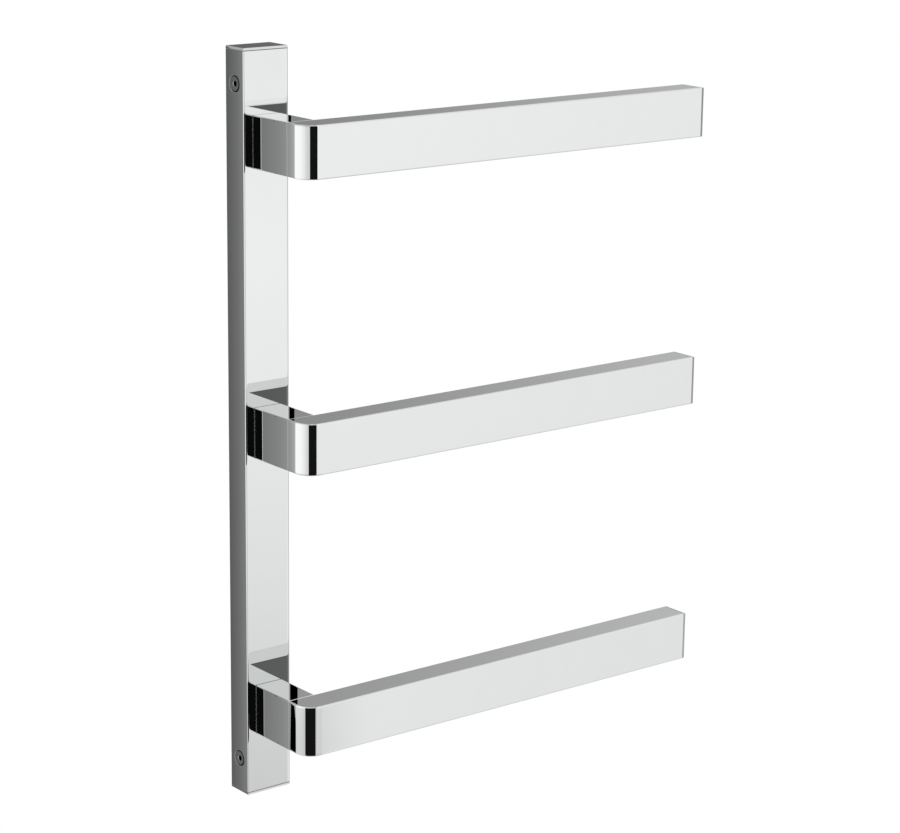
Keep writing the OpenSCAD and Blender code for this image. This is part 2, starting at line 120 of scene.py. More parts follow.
def hexagon(angle, across):
    """Distance from the centre of a regular hexagon to its outline: half the width across the
    flats over the cosine of the angle to the nearest flat's middle."""
    return across / 2 / np.cos(angle % (math.pi / 3) - math.pi / 6)


def thread(angle, along, pitch, depth):
    """Depth of a screw thread below its crest: a triangle wave of the distance along the screw,
    which moves on by one pitch for each turn."""
    return depth * np.abs(2 * ((along / pitch - angle / (2 * math.pi)) % 1) - 1)


def eased(value, low, high):
    """Smooth step from 0 at low to 1 at high: 3t^2 - 2t^3."""
    t = np.clip((value - low) / (high - low), 0, 1)
    return t * t * (3 - 2 * t)


def steps(*stops):
    """Values that run through the stops, each stop a value and the number of steps up to it."""
    parts = [np.array([stops[0][0]])]
    for (start, _), (end, count) in zip(stops, stops[1:]):
        parts.append(np.linspace(start, end, count + 1)[1:])
    return np.concatenate(parts)


def turned(radius, along, count=48):
    """Surface of revolution about Z: a radius for each place along the axis, or for each place
    and angle."""
    angle = full_turn(count)
    radius = np.broadcast_to(radius if radius.ndim == 2 else radius[:, None], (len(along), count))
    along = np.broadcast_to(along[:, None], radius.shape)
    return np.stack([radius * np.cos(angle), radius * np.sin(angle), along], axis=2)


def socket_screw(face, shank, length, across, pitch, cut, rim, plain=0.0, count=96):
    """Countersunk screw with a hexagon socket. Its rows run from the socket's floor up the flats,
    over the face and the rounded rim, down the cone, and along the thread to the tip. Face and
    shank are radii, across is the socket's width, and cut the depth of the thread, which starts
    after a plain length and runs out at the tip."""
    angle = full_turn(count)
    # socket: a drill point below the flats, and a round chamfer at its mouth
    flats, deep, mouth = hexagon(angle, across), 0.6 * across, 0.63 * across
    well = [(0.35 * flats, 1.2 * deep), (0.98 * flats, deep), (flats, 0.95 * deep),
            (flats, 0.12 * deep), (np.full(count, mouth), 0.02 * MM),
            (np.full(count, mouth + 0.02 * across), 0.0), (np.full(count, 0.8 * face), 0.0)]
    # rim, and a cone of 90 degrees down to the shank
    turn = quarter_turn(7)
    down, end = steps((0, 0), (1, 8))[1:], face - shank
    head = np.concatenate([face - rim + rim * np.sin(turn), face - end * down])
    # thread, in ten rows to a pitch, and a tip chamfered by a quarter of the shank
    tip = shank / 4
    body = steps((end, 0), (length - tip, int(10 * (length - end) / pitch)), (length, 8))[1:]
    fall = np.clip(body - length + tip, 0, None)[:, None]
    window = eased(body, end + plain, end + plain + 1.6 * pitch)[:, None]
    groove = np.minimum(thread(angle, body[:, None], pitch, cut), np.clip(cut - fall, 0, None))
    radius = np.vstack([[r for r, _ in well], np.repeat(head[:, None], count, 1),
                        shank - fall - window * groove])
    place = np.concatenate([[z for _, z in well], rim - rim * np.cos(turn),
                            rim + (end - rim) * down, body])
    return turned(radius, place, count)


def hex_nut(across, thick, hole, drop):
    """Hexagon nut, whose rows run along its outside and back along its hole. The hole is
    chamfered by drop, and the corners are turned to a cone that meets the faces inside the
    flats."""
    angle = full_turn(48)
    cone, inside, slope = 1.2 * MM, 0.2 * MM, 1.75
    place = steps((0, 0), (cone, 6), (thick - cone, 2), (thick, 6))
    edge = np.minimum(place, thick - place)[:, None]
    out = np.minimum(hexagon(angle, across), across / 2 - inside + slope * edge)
    bore = np.full((1, 48), hole)
    radius = np.vstack([out, bore + drop, bore, bore, bore + drop])
    return turned(radius, np.concatenate([place, [thick, thick - drop, drop, 0]]))


def flat_washer(outer, hole, thick, soft):
    """Flat washer with softened outer edges, round its outside and back along its hole."""
    near = 0.3 * soft
    radius = np.array([hole, outer - soft, outer - near, outer, outer, outer - near, outer - soft, hole])
    place = np.array([0, 0, near, soft, thick - soft, thick - near, thick, thick])
    return turned(radius, place)


def hollow_stud(outer, bore, length, run, pitch, cut):
    """Hollow stud with a thread over a run at each end. Its rows run along the outside and back
    along the bore, and both are chamfered at the ends."""
    angle = full_turn(48)
    blunt, edge, fade = 0.8 * MM, 0.3 * MM, 2 * MM
    along = steps((blunt, 0), (run, 72), (length - run, 4), (length - blunt, 72))
    threaded = 1 - eased(along, run - fade, run) + eased(along, length - run, length - run + fade)
    out = outer - threaded[:, None] * thread(angle, along[:, None], pitch, cut)
    end = np.full((1, 48), outer - blunt)
    wall = np.full((2, 48), bore)
    radius = np.vstack([end, out, end, wall + [[edge], [0]], wall + [[0], [edge]]])
    place = np.concatenate([[0], along, [length], [length, length - edge, edge, 0]])
    return turned(radius, place)


def round_rod(radius, length, soft):
    """Straight rod whose ends are rounded by a quarter circle."""
    turn = quarter_turn(6)
    end, rise = radius - soft + soft * np.sin(turn), soft - soft * np.cos(turn)
    return turned(np.concatenate([end, end[::-1]]), np.concatenate([rise, length - rise[::-1]]), 32)


def element_rod(radius, length):
    """Heating element: the resin seal, the lip and the crimp of its sheath, each a radius and a
    place in millimetres, then the plain sheath and the round weld at its end."""
    seal = np.array([(3.6, 0), (4.1, 0.15), (4.25, 0.6), (4.25, 7.95), (4.3, 8), (4.7, 8.02),
                     (4.93, 8.15), (5, 8.5), (5, 11.2), (4.8, 11.7), (4.8, 12.5), (5, 13)]) * MM
    turn, weld = quarter_turn(8), 2 * MM
    out = np.concatenate([seal[:, 0], radius - weld * (1 - np.cos(turn))])
    along = np.concatenate([seal[:, 1], length - weld + weld * np.sin(turn)])
    return turned(out, along)


def rubber_bush(flange, deep, neck, bore):
    """Bush for a hole in a tube's wall. Its rows run from the outer face round the lip, along
    the neck, round the bulging flange inside the tube, and back up the bore between two rounded
    edges."""
    turn, around = quarter_turn(7), np.linspace(0, math.pi, 13)
    lip, wall, edge = 0.5 * MM, 2 * MM, 0.8 * MM
    bulge = (deep - wall) / 2
    radius = np.concatenate([
        neck - lip + lip * np.sin(turn), [neck, neck], flange - bulge + bulge * np.sin(around) ** 0.6,
        bore + edge * (1 - np.sin(turn)), bore + edge * (1 - np.cos(turn))])
    place = np.concatenate([
        lip - lip * np.cos(turn), [wall / 2, wall], wall + bulge * (1 - np.cos(around)),
        deep - edge * (1 - np.cos(turn)), edge * (1 - np.sin(turn))])
    return turned(radius, place)


def to_room(grid, x, y, z):
    """Puts a surface that stands on the XY plane at a point, pointing towards the room."""
    return np.stack([grid[..., 0] + x, y - grid[..., 2], grid[..., 1] + z], axis=-1)


def along_x(grid, x, y, z):
    """Puts a surface that stands on the XY plane at a point, pointing along the arms."""
    return np.stack([grid[..., 2] + x, grid[..., 1] + y, z - grid[..., 0]], axis=-1)


def closed(grid, ring):
    """Corners, quads and triangles of a closed surface. The grid's rows are closed. A ring is
    closed along its columns too, and any other surface ends in a pole at each end."""
    m, n, _ = grid.shape
    place = np.arange(m * n).reshape(m, n)
    low = place if ring else place[:-1]
    high = np.roll(place, -1, 0) if ring else place[1:]
    sides = np.stack([low, np.roll(low, -1, 1), np.roll(high, -1, 1), high], 2).reshape(-1, 4)
    ends = np.zeros((0, 3), int)
    corners = grid.reshape(-1, 3)
    if not ring:
        corners = np.vstack([corners, grid[0].mean(0), grid[-1].mean(0)])
        ends = np.vstack([
            np.stack([np.roll(place[0], -1), place[0], np.full(n, m * n)], 1),
            np.stack([place[-1], np.roll(place[-1], -1), np.full(n, m * n + 1)], 1)])
    # the signed volume tells whether the faces look outwards
    thirds = np.vstack([sides[:, [0, 1, 2]], sides[:, [0, 2, 3]], ends])
    a, b, c = (corners[thirds[:, k]] for k in range(3))
    if np.einsum("ij,ij->", a, np.cross(b, c)) < 0:
        sides, ends = sides[:, ::-1], ends[:, ::-1]
    return corners, sides, ends


def solid(name, grids, ring, crease):
    """Mesh of closed surfaces. Edges sharper than the crease, in degrees, stay sharp."""
    points, quads, fans, first = [], [], [], 0
    for grid in grids:
        corners, sides, ends = closed(grid, ring)
        points.append(corners)
        quads.append(sides + first)
        fans.append(ends + first)
        first += len(corners)
    points, quads, fans = np.vstack(points), np.vstack(quads), np.vstack(fans)
    mesh = bpy.data.meshes.new(name)
    mesh.vertices.add(len(points))
    mesh.vertices.foreach_set("co", points.ravel())
    mesh.loops.add(quads.size + fans.size)
    mesh.loops.foreach_set("vertex_index", np.concatenate([quads.ravel(), fans.ravel()]))
    mesh.polygons.add(len(quads) + len(fans))
    mesh.polygons.foreach_set("loop_start", np.concatenate(
        [np.arange(len(quads)) * 4, quads.size + np.arange(len(fans)) * 3]))
    mesh.update(calc_edges=True)
    mesh.polygons.foreach_set("use_smooth", np.ones(len(mesh.polygons), bool))
    mesh.set_sharp_from_angle(angle=math.radians(crease))
    if mesh.validate():
        raise RuntimeError(f"{name} has faces that don't fit together")
    return mesh


def keep(name, grids, material, slot, *nodes, ring=False, crease=35):
    """Makes surfaces a piece of the rail, in place of the nodes that it stands for."""
    mesh = solid(name, grids, ring, crease)
    piece = bpy.data.objects.new(name, mesh)
    bpy.context.scene.collection.objects.link(piece)
    mesh.materials.append(material)
    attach(piece, "root")
    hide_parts(*nodes)


def dress(material, *names):
    """Gives a finish to nodes whose shape is right as it is."""
    for name in names:
        for place in NODES[name].material_slots:
            place.material = material


# Finishes


def add(tree, kind, settings=None, inputs=None, out=None):
    """Adds one shader node with its settings and its inputs, each a value or a link. Gives the
    node, or the output that is asked for."""
    made = tree.nodes.new("ShaderNode" + kind)
    for name, value in (settings or {}).items():
        setattr(made, name, value)
    for name, value in (inputs or {}).items():
        if isinstance(value, bpy.types.NodeSocket):
            tree.links.new(value, made.inputs[name])
        else:
            made.inputs[name].default_value = value
    return made if out is None else made.outputs[out]


def new_finish(name, **values):
    """New material, with its node tree, its Principled shader and its Object coordinates."""
    material = bpy.data.materials.new(name)
    material.use_nodes = True
    tree = material.node_tree
    shader = tree.nodes["Principled BSDF"]
    for key, value in values.items():
        shader.inputs[key].default_value = value
    return material, tree, shader, add(tree, "TexCoord", out="Object")


def smooth_edge(tree, value, low, high):
    """Socket that goes smoothly from 0 at low to 1 at high, or back if low is above high."""
    down = low > high
    return add(tree, "MapRange", {"interpolation_type": "SMOOTHSTEP"},
               {"Value": value, "From Min": min(low, high), "From Max": max(low, high),
                "To Min": float(down), "To Max": float(not down)}, "Result")


def off_axis(tree, place, axis, centre):
    """Distance of a point from a plane across an axis. Along Z, "arms" stands for the levels of
    the three arms, and the distance is to the nearest."""
    value = add(tree, "SeparateXYZ", {}, {"Vector": place}, axis)
    if centre == "arms":
        halfway = middle("upper_arm_tube").z / 2
        return add(tree, "Math", {"operation": "PINGPONG"}, {0: value, 1: halfway}, 0)
    value = add(tree, "Math", {"operation": "SUBTRACT"}, {0: value, 1: centre}, 0)
    return add(tree, "Math", {"operation": "ABSOLUTE"}, {0: value}, 0)


def polish_and_painted_shade(tree, place, seams, sinks):
    """How much grey lies at a place, part dried polish and part painted shade of the seams and the
    countersinks' walls, faded over 0.1 mm either side of its edge.
    """
    polish_and_shade_mask, fade = 0.0, 0.1 * MM
    for axis, centre, half in seams:
        line = smooth_edge(tree, off_axis(tree, place, axis, centre), half + fade, half - fade)
        polish_and_shade_mask = add(tree, "Math", {"operation": "MAXIMUM"}, {0: polish_and_shade_mask, 1: line}, 0)
    for centre, radius in sinks:
        off = add(tree, "VectorMath", {"operation": "DISTANCE"}, {0: place, 1: centre}, "Value")
        ring = smooth_edge(tree, off, radius + fade, radius - fade)
        polish_and_shade_mask = add(tree, "Math", {"operation": "MAXIMUM"}, {0: polish_and_shade_mask, 1: ring}, 0)
    return polish_and_shade_mask


def roll_over(tree, place, bump, rolled):
    """Normal that falls away beside the long edges, by the cube of the way across each roll."""
    for axis, centre, half, wide, deep in rolled:
        over = add(tree, "MapRange", {}, {"Value": off_axis(tree, place, axis, centre),
                                          "From Min": half - wide, "From Max": half}, "Result")
        over = add(tree, "Math", {"operation": "POWER"}, {0: over, 1: 3.0}, 0)
        bump = add(tree, "Bump", {"invert": True},
                   {"Strength": 1.0, "Distance": deep, "Height": over, "Normal": bump}, "Normal")
    return bump


def polished_chrome(name, colour, polish_and_shade_colour, rolled=(), seams=(), sinks=()):
    """Bright chrome plate over a polished steel tube: a mirror with the slow waves that the buffing wheel
    leaves, and the faintest lines along its stroke. The wheel rolls over the long edges, so the mirror
    falls away beside them. A matt grey, part dried polish and part painted shade, lies in the seams and on
    the walls of the countersinks. Rolled edges are an axis, a centre, a half width, and the width and depth
    of the roll. Seams are an axis, a place and a half width, and sinks a centre and a radius."""
    material, tree, shader, place = new_finish(name, Metallic=1.0)
    # buffing waves, about 45 mm long and a few thousandths of a millimetre high
    waves = add(tree, "TexNoise", {}, {"Vector": place, "Scale": 1 / (45 * MM), "Detail": 1.0}, "Fac")
    # polishing lines run along the tubes; drawn 1.5 mm apart, coarser than the real ones, to show
    squeezed = add(tree, "Mapping", {}, {"Vector": place, "Scale": (0.06, 1.0, 0.06)}, "Vector")
    lines = add(tree, "TexNoise", {}, {"Vector": squeezed, "Scale": 1 / (1.5 * MM), "Detail": 3.0}, "Fac")
    # a haze in patches of 18 mm, which dulls the mirror a little and greys the plate a little
    cloud = add(tree, "TexNoise", {}, {"Vector": place, "Scale": 1 / (18 * MM), "Detail": 4.0}, "Fac")
    dull = add(tree, "MapRange", {}, {"Value": cloud, "From Min": 0.35, "From Max": 0.75,
                                      "To Min": 0.010, "To Max": 0.025}, "Result")
    shade = tuple(c * 0.975 for c in colour[:3]) + (1.0,)
    tone = add(tree, "Mix", {"data_type": "RGBA"}, {"Factor": cloud, 6: colour, 7: shade}, 2)
    # painted shade, part dried polish: a matt grey without metal in the seams and countersinks
    polish_and_shade_mask = polish_and_painted_shade(tree, place, seams, sinks)
    tone = add(tree, "Mix", {"data_type": "RGBA"}, {"Factor": polish_and_shade_mask, 6: tone, 7: polish_and_shade_colour}, 2)
    tree.links.new(tone, shader.inputs["Base Color"])
    clean = add(tree, "Math", {"operation": "SUBTRACT"}, {0: 1.0, 1: polish_and_shade_mask}, 0)
    tree.links.new(clean, shader.inputs["Metallic"])
    dull = add(tree, "Math", {"operation": "MULTIPLY_ADD"}, {0: polish_and_shade_mask, 1: 0.5, 2: dull}, 0)
    tree.links.new(dull, shader.inputs["Roughness"])
    bump = add(tree, "Bump", {}, {"Strength": 1.0, "Distance": 0.006 * MM, "Height": waves}, "Normal")
    bump = add(tree, "Bump", {}, {"Strength": 0.02, "Distance": 0.005 * MM, "Height": lines,
                                  "Normal": bump}, "Normal")
    tree.links.new(roll_over(tree, place, bump, rolled), shader.inputs["Normal"])
    return material


def plain_metal(name, colour, shade, grain, rough, painted_shade=None):
    """Metal with blotches of two shades and a grain: used for plated, ground and turned pieces. The grain
    is a size in millimetres along each axis. The last argument, if given, is a function of the node tree
    and the place that gives how much painted black shade lies there."""
    material, tree, shader, place = new_finish(name, Metallic=1.0)
    # blotches of 3 mm, where plate or tarnish lies thicker
    blotch = add(tree, "TexVoronoi", {}, {"Vector": place, "Scale": 1 / (3 * MM)}, "Color")
    tone = add(tree, "Mix", {"data_type": "RGBA"}, {"Factor": blotch, 6: colour, 7: shade}, 2)
    # painted shade: near black mixed into the colour where recesses and gaps would be shaded
    if painted_shade:
        painted_black = tuple(c * 0.01 for c in shade[:3]) + (1.0,)
        tone = add(tree, "Mix", {"data_type": "RGBA"}, {"Factor": painted_shade(tree, place), 6: tone, 7: painted_black}, 2)
    tree.links.new(tone, shader.inputs["Base Color"])
    # the tool's or the plate's grain, which varies the gloss and stands a little proud
    stretched = add(tree, "Mapping", {}, {"Vector": place, "Scale": tuple(1 / (g * MM) for g in grain)},
                    "Vector")
    lines = add(tree, "TexNoise", {}, {"Vector": stretched, "Scale": 1.0, "Detail": 3.0}, "Fac")
    dull = add(tree, "MapRange", {}, {"Value": lines, "From Min": 0.3, "From Max": 0.7,
                                      "To Min": rough - 0.08, "To Max": rough + 0.08}, "Result")
    tree.links.new(dull, shader.inputs["Roughness"])
    bump = add(tree, "Bump", {}, {"Strength": 0.35, "Distance": 0.02 * MM, "Height": lines}, "Normal")
    tree.links.new(bump, shader.inputs["Normal"])
    return material


def moulded(name, colour, shade, grit, rough, stripe=None):
    """Moulded plastic, rubber or silicone: one body colour with a faint cloud of another, and
    the fine pitted skin that the mould leaves, whose grit is a size in millimetres. A stripe puts
    the other colour on both sides of an upright lead instead, and is the lead's place along X."""
    material, tree, shader, place = new_finish(name, Roughness=rough)
    cloud = add(tree, "TexNoise", {}, {"Vector": place, "Scale": 1 / (9 * MM), "Detail": 3.0}, "Fac")
    if stripe is not None:
        cloud = smooth_edge(tree, off_axis(tree, place, "X", stripe), 0.5 * MM, 0.6 * MM)
    tone = add(tree, "Mix", {"data_type": "RGBA"}, {"Factor": cloud, 6: colour, 7: shade}, 2)
    tree.links.new(tone, shader.inputs["Base Color"])
    skin = add(tree, "TexNoise", {}, {"Vector": place, "Scale": 1 / (grit * MM), "Detail": 2.0}, "Fac")
    bump = add(tree, "Bump", {}, {"Strength": 0.4, "Distance": 0.05 * MM, "Height": skin}, "Normal")
    tree.links.new(bump, shader.inputs["Normal"])
    return material


def painted_socket_shade(tree, place, low, high):
    """Painted shade: black in the side screws' hexagon sockets, and in a crescent round the side of each
    head that stands deeper in its countersink, where the gap would be shaded. Both are told by the distance
    from a centre 0.8 mm aside of the head's own. Low and high are the corners of the box round both screws."""
    head = (high.y - low.y) / 2
    # both screws are folded onto the upper one, and seen along the screw
    folded = add(tree, "VectorMath", {"operation": "ABSOLUTE"}, {0: place}, 0)
    folded = add(tree, "VectorMath", {"operation": "MULTIPLY"}, {0: folded, 1: (0, 1, 1)}, 0)
    aside = (0, -(low.y + high.y) / 2 - 0.8 * MM, high.z - head)
    off = add(tree, "VectorMath", {"operation": "DISTANCE"}, {0: folded, 1: aside}, "Value")
    along = add(tree, "SeparateXYZ", {}, {"Vector": place}, "X")
    well = smooth_edge(tree, off, 4.3 * MM, 4.1 * MM)
    for edge in (smooth_edge(tree, along, low.x + 0.3 * MM, low.x + 0.6 * MM),
                 smooth_edge(tree, along, low.x + 3.9 * MM, low.x + 3.7 * MM)):
        well = add(tree, "Math", {"operation": "MULTIPLY"}, {0: well, 1: edge}, 0)
    crescent = smooth_edge(tree, off, head - 1.3 * MM, head - 1.0 * MM)
    return add(tree, "Math", {"operation": "MAXIMUM"}, {0: well, 1: crescent}, 0)


# Settings


def colour_setting(name, about, code):
    """Colour that a user may change, given as sRGB hex."""
    return bpy.props.FloatVectorProperty(
        name=name, description=about, default=linear(code), size=4, subtype="COLOR", min=0, max=1)


def length_setting(name, about, value, top=0.1):
    """Length that a user may change, in metres."""
    return bpy.props.FloatProperty(
        name=name, description=about, default=value, min=0, max=top, unit="LENGTH", precision=5)


def brightness_setting(name, about):
    """Brightness that a user may change, 1 as set up."""
    return bpy.props.FloatProperty(name=name, description=about, default=1, min=0, max=2, subtype="FACTOR")


class RailFinishes(bpy.types.PropertyGroup):
    """Colours of the rail's finishes"""

    chrome: colour_setting("Chrome", "Bright chrome plate on the tubes and caps", "#E8EAE9")
    # painted shade of the seams and countersinks, part dried polish
    polish: colour_setting("Seams", "Dried polish in the seams", "#7C7E7D")
    screw: colour_setting("Screw steel", "Polished stainless steel of the side screws", "#C9CCCC")
    steel: colour_setting("Zinc", "Bright zinc plate of the hidden steel", "#B4B8BA")
    steel_shade: colour_setting("Zinc shade", "Darker blotches in the zinc plate", "#9DA2A6")
    sheath: colour_setting("Sheath", "Stainless sheath of the heating elements", "#A39F98")
    sheath_shade: colour_setting("Sheath shade", "Where heat has dulled the sheath", "#857C70")
    brass: colour_setting("Brass", "Bare brass of the clamps and the earth screw", "#C8A456")
    brass_shade: colour_setting("Brass shade", "Tarnish on the brass", "#A8853D")
    sleeve: colour_setting("Lead sleeve", "Silicone sleeve of the heater leads", "#A33A22")
    sleeve_shade: colour_setting("Lead sleeve shade", "Darker cloud in that sleeve", "#8B2E1B")
    spacer: colour_setting("Spacers", "Silicone of the element spacers", "#B5543C")
    spacer_shade: colour_setting("Spacer shade", "Darker cloud in the spacers", "#A0452F")
    earth: colour_setting("Earth lead", "Green of the earth lead", "#4F8A2E")
    earth_shade: colour_setting("Earth lead stripe", "Yellow of the earth lead", "#C9B62F")
    rubber: colour_setting("Rubber", "Rubber of the supply bush", "#1E1E1F")
    rubber_shade: colour_setting("Rubber bloom", "Paler bloom on the rubber", "#2E2E2E")
    cutout: colour_setting("Cut-out", "Moulded body of the thermal cut-out", "#222325")
    cutout_shade: colour_setting("Cut-out shade", "Paler cloud in that body", "#2F3033")
    block: colour_setting("Terminal block", "Moulded body of the terminal block", "#E4DFCE")
    block_shade: colour_setting("Terminal block shade", "Warmer cloud in that body", "#D8D0B8")


class RailDetails(bpy.types.PropertyGroup):
    """Sizes of the turned and threaded pieces"""

    screw_pitch: length_setting("Side screw pitch", "Pitch of the side screws' thread", 1.25 * MM)
    screw_socket: length_setting("Side screw socket", "Width across the socket's flats", 5 * MM)
    stud_pitch: length_setting("Stud pitch", "Pitch of the tie studs' thread", 1.5 * MM)
    thread_depth: length_setting("Thread depth", "Depth of both threads", 0.6 * MM)
    rim: length_setting("Head rim", "Rounding of a side screw's rim", 0.35 * MM)
    nut_chamfer: length_setting("Nut chamfer", "Chamfer round the hole of a tie nut", 0.6 * MM)
    small_pitch: length_setting("Small pitch", "Pitch of the small screws' threads", 0.6 * MM)
    small_rim: length_setting("Small rim", "Rounding of a small screw's rim", 0.15 * MM)


class RailStudio(bpy.types.PropertyGroup):
    """Light and surroundings"""

    left_panel: brightness_setting("Left panel", "Brightness of the large panel on the left")
    right_panel: brightness_setting("Right panel", "Brightness of the panel on the right")
    floor_drop: length_setting("Floor", "Drop from the rail to the floor", 1.3, 5.0)
    floor_colour: colour_setting("Floor colour", "Pale studio floor", "#F4F4F2")


# Pieces


def both(finishes, name):
    """A finish's own colour and its shade."""
    return tuple(getattr(finishes, name)), tuple(getattr(finishes, f"{name}_shade"))


class TOWELRAIL_OT_tubes(bpy.types.Operator):
    """Chrome plate on the column, the stubs and the arms"""

    bl_idname = "towelrail.tubes"
    bl_label = "Tubes"

    def execute(self, context):
        finishes = context.scene.rail_finishes
        plate, polish = tuple(finishes.chrome), tuple(finishes.polish)
        low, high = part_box("column_tube")
        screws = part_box("side_screws")
        head, recess, cap_seam = (screws[1].y - screws[0].y) / 2, 0.5 * MM, 0.45 * MM
        # each chrome gets painted shade, part dried polish, in its seams, and the column round its
        # countersinks
        column = polished_chrome(
            "polished chrome plate on column", plate, polish,
            rolled=[("X", 0.0, high.x, 4 * MM, 0.19 * MM),
                    ("Y", middle("column_tube").y, (high.y - low.y) / 2, 3 * MM, 0.14 * MM)],
            seams=[("Z", low.z, cap_seam), ("Z", high.z, cap_seam)],
            sinks=[((low.x, (screws[0].y + screws[1].y) / 2, z), head + recess)
                   for z in (screws[1].z - head, screws[0].z + head)])
        dress(column, "column_tube")
        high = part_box("middle_stub_tube")[1]
        wide, deep, root_seam = 2.5 * MM, 0.16 * MM, 0.68 * MM
        edge = ("Z", "arms", high.z, wide, deep)
        stubs = polished_chrome(
            "polished chrome plate on stubs", plate, polish,
            rolled=[("X", 0.0, high.x, wide, deep), edge], seams=[("Y", high.y, root_seam)])
        dress(stubs, *(f"{level}_stub_tube" for level in LEVELS))
        high, end_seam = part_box("middle_arm_tube")[1], 0.35 * MM
        arms = polished_chrome("polished chrome plate on arms", plate, polish, rolled=[edge],
                               seams=[("X", high.x, end_seam)])
        dress(arms, *(f"{level}_arm_tube" for level in LEVELS))
        return {"FINISHED"}


class TOWELRAIL_OT_caps(bpy.types.Operator):
    """Chrome plate on the end caps"""

    bl_idname = "towelrail.caps"
    bl_label = "End caps"

    def execute(self, context):
        finishes = context.scene.rail_finishes
        low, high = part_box("column_tube")
        column_seam, arm_seam = 0.35 * MM, 0.3 * MM
        # painted shade, part dried polish, in the seams at the column and at the arms' ends
        caps = polished_chrome(
            "polished chrome plate on caps", tuple(finishes.chrome), tuple(finishes.polish),
            seams=[("Z", low.z, column_seam), ("Z", high.z, column_seam),
                   ("X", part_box("middle_arm_tube")[1].x, arm_seam)])
        dress(caps, "column_top_cap", "column_bottom_cap", *(f"{level}_arm_end_cap" for level in LEVELS))
        return {"FINISHED"}


class TOWELRAIL_OT_side_screws(bpy.types.Operator):
    """Countersunk screws with hexagon sockets in the column's left side"""

    bl_idname = "towelrail.side_screws"
    bl_label = "Side screws"

    def execute(self, context):
        details, finishes = context.scene.rail_details, context.scene.rail_finishes
        low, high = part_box("side_screws")
        head, shank, plain = (high.y - low.y) / 2, 4 * MM, 3 * MM
        # duller and greyer than the chrome, with painted black shade in the sockets and in the gap round
        # each head
        steel = plain_metal(
            "turned stainless steel", tuple(finishes.screw), tuple(c * 0.93 for c in finishes.screw),
            (2, 2, 2), 0.3, painted_shade=lambda tree, place: painted_socket_shade(tree, place, low, high))
        screw = socket_screw(head, shank, high.x - low.x, details.screw_socket, details.screw_pitch,
                             details.thread_depth, details.rim, plain)
        grids = [along_x(screw, low.x, (low.y + high.y) / 2, z) for z in (high.z - head, low.z + head)]
        keep("side_screw_pair", grids, steel, "chrome", "side_screws")
        return {"FINISHED"}


class TOWELRAIL_OT_ties(bpy.types.Operator):
    """Hollow studs, nuts and washers that clamp each arm, stub and column"""

    bl_idname = "towelrail.ties"
    bl_label = "Tie studs, nuts and washers"

    def execute(self, context):
        details = context.scene.rail_details
        # bluish plate that glints in the fine rings of the lathe
        zinc = plain_metal("bright zinc plate on turned steel", *both(context.scene.rail_finishes, "steel"),
                           (4, 0.4, 4), 0.32)
        for level in LEVELS:
            low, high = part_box(f"{level}_tie_stud")
            z, outer, bore, run = (low.z + high.z) / 2, (high.z - low.z) / 2, 4 * MM, 14 * MM
            stud = hollow_stud(outer, bore, high.y - low.y, run, details.stud_pitch, details.thread_depth)
            keep(f"{level}_stud", [to_room(stud, 0, high.y, z)], zinc, "bare_steel", f"{level}_tie_stud",
                 ring=True)

            low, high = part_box(f"{level}_tie_nut")
            nut = hex_nut(high.z - low.z, high.y - low.y, outer + 0.05 * MM, details.nut_chamfer)
            keep(f"{level}_nut", [to_room(nut, 0, high.y, z)], zinc, "bare_steel", f"{level}_tie_nut",
                 ring=True, crease=20)

            low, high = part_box(f"{level}_tie_washer")
            hole, soft = 6.3 * MM, 0.3 * MM
            washer = flat_washer((high.z - low.z) / 2, hole, high.y - low.y, soft)
            keep(f"{level}_washer", [to_room(washer, 0, high.y, z)], zinc, "bare_steel",
                 f"{level}_tie_washer", ring=True)
        return {"FINISHED"}


class TOWELRAIL_OT_hidden_steel(bpy.types.Operator):
    """Zinc plate on the brackets, bosses, anchor blocks and spigots, and ground dowel pins"""

    bl_idname = "towelrail.hidden_steel"
    bl_label = "Brackets and hidden steel"

    def execute(self, context):
        steel = both(context.scene.rail_finishes, "steel")
        # plate that dims the coarse lines of the saw
        plate = plain_metal("bright zinc plate on sawn steel", *steel, (0.5, 3, 5), 0.34)
        dress(plate, "upper_wall_bracket", "lower_wall_bracket", "screw_bosses")
        # an even satin in two greys
        cut = plain_metal("bright zinc plate on cut plate", *steel, (2, 2, 2), 0.38)
        dress(cut, *(f"{level}_{piece}" for level in LEVELS
                     for piece in ("anchor_block", "arm_spigot", "root_spigot")))
        # the glossiest of the three, with the rings that the wheel leaves
        ground = plain_metal("ground steel", *steel, (3, 0.3, 3), 0.22)
        for level in LEVELS:
            low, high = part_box(f"{level}_dowel_pins")
            radius, soft, grids = 2 * MM, 0.5 * MM, []
            apart = (high.z - low.z) / 2 - radius
            # one pair runs from the column into the stub, the other from the stub into the arm
            root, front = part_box(f"{level}_root_spigot"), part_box(f"{level}_arm_spigot")
            for start, end in ((high.y, root[0].y), (front[1].y, low.y)):
                rod = round_rod(radius, start - end, soft)
                for z in ((low.z + high.z) / 2 - apart, (low.z + high.z) / 2 + apart):
                    grids.append(to_room(rod, 0, start, z))
            keep(f"{level}_pins", grids, ground, "bare_steel", f"{level}_dowel_pins")
        return {"FINISHED"}


